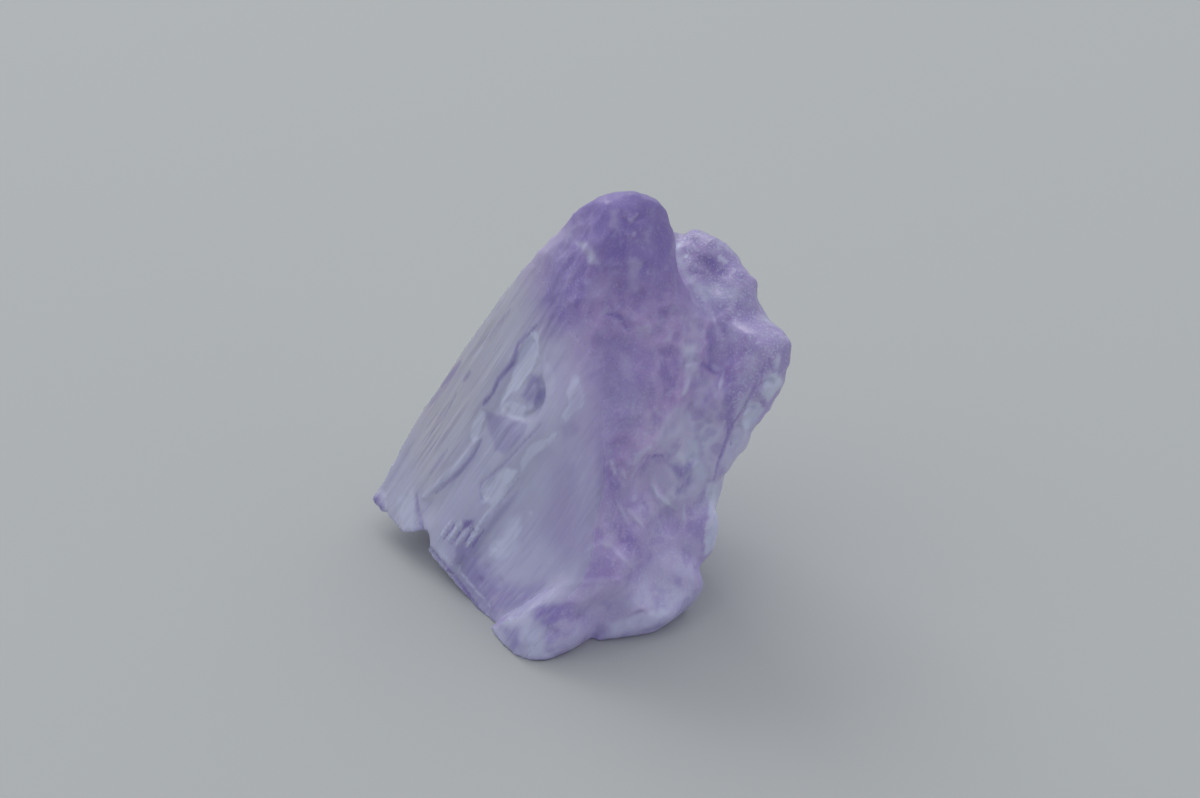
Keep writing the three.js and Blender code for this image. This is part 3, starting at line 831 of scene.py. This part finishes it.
def round_off(surface):
    """Melts the broken faces and the worn edges, and fills the chip a little."""
    cleaved, resting = faces_of(surface)
    kept, passes = 0.15, 12  # cleaved faces keep this share of the melting
    surface.melt((kept + (1 - kept) * (1 - cleaved)) * (1 - resting), passes)
    for path, reach, passes in MELTED.values():
        surface.melt(surface.near(path, reach) * (1 - resting), passes)
    surface.settle()
    for hollow in FILLS.values():
        surface.fill(*hollow)
    surface.settle()


def zones_of(surface):
    """Each point's place, and how far it lies in each zone of the stone, from 0 to 1."""
    points = surface.points.copy()
    x, y, z = points.T
    cleaved, resting = faces_of(surface)
    foot = np.maximum(smooth_step(10.8, 12.5, x + 0.1 * y), 1 - smooth_step(4, 7, surface.heights))
    dome = smooth_step(19.5, 23, z) * (1 - smooth_step(5.5, 6.5, y))
    slab = smooth_step(6.3, 7.0, y) * smooth_step(17, 19, z)
    return SimpleNamespace(
        points=points,
        cleaved=cleaved,
        etched=1 - cleaved,
        free=1 - resting,
        foot=foot,
        dome=dome,
        slab=slab,
        side=smooth_step(9.5, 11.5, x + 0.3 * y),
        behind=smooth_step(3.5, 6.0, y),
        calm=1 - 0.7 * foot - 0.3 * dome - 0.4 * slab,
    )


def break_up(surface, zone, shape):
    """Works swells, scallops, shells and facets into the broken faces. Returns how hollow they are."""
    swell = wave_field(zone.points, (shape.swell_size / MM,) * 3, seed=1)
    scallop = scallop_field(zone.points, shape.scallop_size / MM, seed=2) - 0.5
    fine = scallop_field(zone.points, 0.4 * shape.scallop_size / MM, seed=3) - 0.5
    relief = shape.swell_height / MM * swell + shape.scallop_depth / MM * (scallop + 0.35 * fine)
    surface.lift(zone.etched * zone.free * zone.calm * relief)
    for shell in SCOOPS.values():
        surface.scoop(*shell)
    for facet in FACETS.values():
        surface.flatten(*facet)
    surface.settle()
    return -fine - 0.6 * scallop


def groove(surface, zone, shape):
    """Cuts the grooves and lines that run along the prism, deepest in the strip at the left edge."""
    stria_length, line_length = 9, 5
    upright = 1 - smooth_step(0.35, 0.7, np.abs(surface.normals[:, 2]))
    stria = wave_field(zone.points, (shape.stria_width / MM, shape.stria_width / MM, stria_length), seed=4)
    line = wave_field(zone.points, (shape.line_width / MM, shape.line_width / MM, line_length), seed=5)
    grooves = shape.stria_depth / MM * stria + shape.line_depth / MM * line
    strip = 0.4 + 0.6 * (1 - smooth_step(3.5, 7.0, zone.points[:, 0]))
    surface.lift(zone.free * upright * grooves * (zone.cleaved * strip + 0.6 * zone.etched))


def lay_marks(surface, zone, hollow, ragged):
    """Lays the marks over a fine mottling, with painted shade in the scallop hollows.
    Returns each point's share of veils and highlights, and of veins and shade.
    """
    points, etched = zone.points, zone.etched
    streaky = wave_field(points, (0.3, 0.3, 1.2), seed=6)
    streaky += 0.5 * wave_field(points, (0.15, 0.15, 0.6), seed=10)
    fibrous = wave_field(points, (0.16, 0.16, 2.5), seed=13)
    mottle = smooth_step(-0.1, 0.5, wave_field(points, (0.7, 0.7, 1.0), seed=11))
    veil = etched * zone.calm * 0.35 * smooth_step(0.1, 0.6, streaky)
    # Painted shade: the hollows of the scallops take the violet tint, which brings out the relief.
    vein = etched * 0.35 * smooth_step(0, 0.45, hollow)
    deep = 0.75 * zone.dome + 0.3 * zone.foot + 0.25 * zone.slab + 0.15 * mottle
    vein = 1 - (1 - vein) * (1 - etched * deep)
    broken = np.clip(0.9 + 0.6 * etched * streaky + 0.7 * zone.cleaved * fibrous, 0, 1)
    surface.look()
    for mark in MARKS.values():
        if mark.closed:
            near = surface.inside(mark.pixels, mark.spread, ragged)
        else:
            near = surface.near(mark.pixels, mark.spread)
        if mark.rise:
            surface.lift(zone.free * near * mark.rise)
        pale, dark = mark.veil * near * broken, mark.vein * near * broken
        veil = np.maximum(veil * (1 - dark), pale)
        vein = np.maximum(vein * (1 - pale), dark)
    surface.settle()
    surface.iron()
    return veil, vein


def violet_of(zone):
    """How deep the violet is at each point: most at the top and on the right, and cloudy."""
    points, etched = zone.points, zone.etched
    x, y, z = points.T
    cloud = wave_field(points, (3.5,) * 3, seed=7) + 0.6 * wave_field(points, (1.2, 1.2, 2.0), seed=8)
    cloud += 0.4 * wave_field(points, (0.5, 0.5, 0.9), seed=9)
    to_top = 1.05 * smooth_step(14, 23, z + 0.3 * x) * (1 - 0.3 * zone.behind)
    to_right = 1.1 * smooth_step(7, 12.5, x + 0.8 * y) * (1 - 0.6 * zone.behind) * (1 - 0.3 * zone.side)
    to_right *= (0.3 + 0.7 * smooth_step(5, 11, z)) * (0.35 + 0.65 * etched)
    return np.maximum(to_top, to_right) + (0.2 + 0.25 * etched) * cloud


def work_surface(mesh, shape):
    """Shapes the surface, and notes what the stone's finish is at each point."""
    surface = Surface(mesh)
    round_off(surface)
    zone = zones_of(surface)
    hollow = break_up(surface, zone, shape)
    groove(surface, zone, shape)
    ragged = RAGGED * wave_field(zone.points, (0.3, 0.3, 1.0), seed=12)
    veil, vein = lay_marks(surface, zone, hollow, ragged)

    x, _, z = zone.points.T
    low = 0.8 * (1 - smooth_step(2.5, 6, z))
    # The heel's share of the frost specks is painted sparkle.
    heel = surface.inside(MARKS["heel"].pixels, MARKS["heel"].spread, ragged)
    cloudy = 0.24 + 0.2 * zone.foot + 0.1 * zone.side - 0.12 * zone.dome - 0.1 * zone.slab
    surface.note("lilac", np.maximum(low, smooth_step(1, 5.5, x + 0.15 * z)))
    surface.note("etched", zone.etched)
    surface.note("violet", violet_of(zone))
    surface.note("veil", veil)
    surface.note("vein", vein)
    surface.note("frost", (0.35 - 0.15 * zone.dome) * zone.etched + np.maximum(0.5 * zone.slab, 0.7 * heel))
    surface.note("cloudy", np.maximum(0.8 * veil, 0.15 + zone.etched * cloudy))


# The fine patterns inside the stone, in mm.
FIBRE_WIDTH = 0.2
FIBRE_SQUEEZE = 0.045  # of the noise along the prism, so that a fibre is some 20 times as long as wide
SPECK_SIZE = 0.125
GRAIN_SIZE = 0.4
GRAIN_ROUGHNESS = 0.16  # by which the roughness varies from grain to grain


def kunzite(finish):
    """Kunzite, lilac spodumene: clear stone, bright where it cleaved and satin where it was etched."""
    material = blank_material("kunzite")
    tree = material.node_tree
    place = add(tree, "ShaderNodeTexCoord").outputs["Object"]
    turn = AXES.transposed()
    crystal = add(
        tree, "ShaderNodeMapping", Vector=place,
        Location=-(turn @ FACE_END), Rotation=turn.to_euler(), Scale=(1 / MM,) * 3,
    ).outputs["Vector"]
    etched, lilac, violet, veil, vein, frost, cloudy = (
        add(tree, "ShaderNodeAttribute", {"attribute_name": name}).outputs["Fac"]
        for name in ("etched", "lilac", "violet", "veil", "vein", "frost", "cloudy")
    )
    cleaved = add(tree, "ShaderNodeMath", {"operation": "SUBTRACT"}, _0=1.0, _1=etched).outputs[0]
    strip = add(
        tree, "ShaderNodeMath", {"operation": "MULTIPLY_ADD"}, _0=lilac, _1=-0.75, _2=1.0
    ).outputs[0]
    lined = add(tree, "ShaderNodeMath", {"operation": "MULTIPLY"}, _0=cleaved, _1=strip).outputs[0]
    squeezed = add(tree, "ShaderNodeMapping", Vector=crystal, Scale=(1, 1, FIBRE_SQUEEZE)).outputs["Vector"]
    fibre, speck, grain = (
        add(tree, "ShaderNodeTexNoise", Vector=vector, Scale=1 / size, Detail=detail).outputs["Fac"]
        for vector, size, detail in (
            (squeezed, FIBRE_WIDTH, 4.0),
            (crystal, SPECK_SIZE, 2.0),
            (crystal, GRAIN_SIZE, 2.0),
        )
    )
    pale_fibre, dark_fibre, pale_speck = (
        add(
            tree, "ShaderNodeMapRange", Value=pattern, From_Min=least, From_Max=most, To_Max=strength
        ).outputs["Result"]
        for pattern, least, most, strength in (
            (fibre, 0.5, 0.72, finish.fibres),
            (fibre, 0.45, 0.28, finish.fibres),
            (speck, 0.52, 0.7, 1.0),
        )
    )

    tint = tuple(finish.clear)
    layers = (
        (lilac, 1.0, finish.pale),
        (violet, 1.0, finish.deep),
        (dark_fibre, lined, finish.vein),
        (vein, 1.0, finish.vein),
        (pale_fibre, lined, finish.veil),
        (pale_speck, frost, finish.veil),
        (veil, 1.0, finish.veil),
    )
    for mask, share, over in layers:
        part = add(tree, "ShaderNodeMath", {"operation": "MULTIPLY"}, _0=mask, _1=share).outputs[0]
        tint = add(
            tree, "ShaderNodeMix", {"data_type": "RGBA"}, _0=part, _6=tint, _7=tuple(over)
        ).outputs[2]

    smoothest = add(
        tree,
        "ShaderNodeMapRange",
        Value=etched,
        To_Min=finish.polished - GRAIN_ROUGHNESS / 2,
        To_Max=finish.etched - GRAIN_ROUGHNESS / 2,
    ).outputs["Result"]
    rough = add(
        tree, "ShaderNodeMath", {"operation": "MULTIPLY_ADD"}, _0=grain, _1=GRAIN_ROUGHNESS, _2=smoothest
    ).outputs[0]
    lines = add(tree, "ShaderNodeMath", {"operation": "MULTIPLY"}, _0=fibre, _1=cleaved).outputs[0]
    height = add(
        tree, "ShaderNodeMath", {"operation": "MULTIPLY_ADD"}, _0=speck, _1=frost, _2=lines
    ).outputs[0]
    bump = add(tree, "ShaderNodeBump", Height=height, Strength=0.6, Distance=0.05 * MM).outputs["Normal"]
    through = add(
        tree, "ShaderNodeMapRange", Value=cloudy, To_Min=finish.clarity, To_Max=0.2 * finish.clarity
    ).outputs["Result"]
    surface = add(
        tree, "ShaderNodeBsdfPrincipled", Base_Color=tint, Roughness=rough, IOR=1.66,
        Transmission_Weight=through, Normal=bump,
    ).outputs["BSDF"]
    inside = add(
        tree, "ShaderNodeVolumeAbsorption", Color=tuple(finish.body), Density=finish.absorption
    ).outputs["Volume"]
    add(tree, "ShaderNodeOutputMaterial", Surface=surface, Volume=inside)
    return material


class KUNZITE_OT_crystal(bpy.types.Operator):
    """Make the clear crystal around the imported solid."""

    bl_idname = "kunzite.crystal"
    bl_label = "Crystal"

    def execute(self, context):
        shape = context.scene.kunzite_shape
        mesh = even_mesh("crystal", shape.mesh_size)
        mesh.name = "kunzite_crystal"
        work_surface(mesh, shape)
        mesh.transform(Matrix.Scale(MM, 4))
        mesh.shade_smooth()
        piece = shown("kunzite_crystal", mesh, kunzite(context.scene.kunzite_finish))
        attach(piece, "root")
        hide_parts("crystal")
        return {"FINISHED"}


# ---- The studio


FLOOR_REACH = 1.5  # m from its middle to its edge
FLOOR_GAP = 0.03 * MM  # between the floor and the crystal


def matt_floor(stage):
    """A plain painted board, matt, so that it takes a soft shadow and no reflection."""
    material = blank_material("pale_floor")
    tree = material.node_tree
    surface = add(tree, "ShaderNodeBsdfPrincipled", Base_Color=tuple(stage.floor), Roughness=0.9)
    add(tree, "ShaderNodeOutputMaterial", Surface=surface.outputs["BSDF"])
    return material


def add_floor(stage):
    board = bmesh.new()
    bmesh.ops.create_grid(board, x_segments=1, y_segments=1, size=FLOOR_REACH)
    bmesh.ops.translate(board, verts=board.verts, vec=(0, 0, -FLOOR_GAP))
    mesh = bpy.data.meshes.new("floor")
    board.to_mesh(mesh)
    board.free()
    shown("floor", mesh, matt_floor(stage))


def add_sky(stage):
    """Light from all round, which is brighter on the window's side."""
    world = bpy.data.worlds.new("sky")
    bpy.context.scene.world = world
    world.use_nodes = True
    tree = world.node_tree
    tree.nodes.clear()
    direction = add(tree, "ShaderNodeTexCoord").outputs["Generated"]
    near = add(
        tree, "ShaderNodeVectorMath", {"operation": "DOT_PRODUCT"}, _0=direction, _1=toward(*WINDOW)
    ).outputs["Value"]
    strength = add(
        tree, "ShaderNodeMapRange", {"interpolation_type": "SMOOTHSTEP"}, Value=near,
        From_Min=-0.8, From_Max=0.9, To_Min=stage.sky_dark, To_Max=stage.sky_bright,
    ).outputs["Result"]
    sky = add(tree, "ShaderNodeBackground", Color=tuple(stage.sky), Strength=strength)
    add(tree, "ShaderNodeOutputWorld", Surface=sky.outputs["Background"])


def aimed(name, data, away, distance):
    """A new object that looks at the crystal from this way and distance."""
    made = bpy.data.objects.new(name, data)
    bpy.context.scene.collection.objects.link(made)
    made.location = TARGET + away * distance
    made.rotation_mode = "QUATERNION"
    made.rotation_quaternion = away.to_track_quat("Z", "Y")
    return made


def add_light(name, place, size, power):
    """A big soft light."""
    data = bpy.data.lights.new(name, "AREA")
    data.shape = "RECTANGLE"
    data.size, data.size_y = size
    data.energy = power
    data.color = linear(WHITE)[:3]
    aimed(name, data, toward(*place), LIGHT_DISTANCE)


def add_camera():
    data = bpy.data.cameras.new("camera")
    data.lens = LENS
    data.sensor_width = SENSOR
    data.clip_start, data.clip_end = CLIP
    bpy.context.scene.camera = aimed("camera", data, AWAY, CAMERA_DISTANCE)


class KUNZITE_OT_stage(bpy.types.Operator):
    """Lay the floor, and set the light and the camera."""

    bl_idname = "kunzite.stage"
    bl_label = "Studio"

    def execute(self, context):
        stage = context.scene.kunzite_stage
        add_floor(stage)
        add_sky(stage)
        add_light("window", WINDOW, WINDOW_SIZE, stage.window_power)
        add_light("fill", FILL, FILL_SIZE, stage.fill_power)
        add_camera()
        context.scene.view_settings.view_transform = "Standard"
        return {"FINISHED"}


class KUNZITE_PT_panel(bpy.types.Panel):
    """The crystal's settings and steps."""

    bl_label = "Kunzite"
    bl_space_type = "VIEW_3D"
    bl_region_type = "UI"
    bl_category = "Kunzite"

    def draw(self, context):
        for settings, step in STEPS:
            box = self.layout.box()
            box.operator(step.bl_idname)
            for name in settings:
                group = getattr(context.scene, name)
                for field in group.__annotations__:
                    box.prop(group, field)


STEPS = (
    (("kunzite_stage",), KUNZITE_OT_stage),
    (("kunzite_shape", "kunzite_finish"), KUNZITE_OT_crystal),
)
GROUPS = {
    "kunzite_shape": CrystalShape,
    "kunzite_finish": KunziteFinish,
    "kunzite_stage": StudioStage,
}
CLASSES = (*GROUPS.values(), KUNZITE_OT_crystal, KUNZITE_OT_stage, KUNZITE_PT_panel)


def register():
    for made in CLASSES:
        bpy.utils.register_class(made)
    for name, group in GROUPS.items():
        setattr(bpy.types.Scene, name, bpy.props.PointerProperty(type=group))


def unregister():
    for name in GROUPS:
        delattr(bpy.types.Scene, name)
    for made in reversed(CLASSES):
        bpy.utils.unregister_class(made)


def main():
    register()
    bpy.ops.kunzite.stage()
    bpy.ops.kunzite.crystal()


if __name__ == "__main__":
    main()
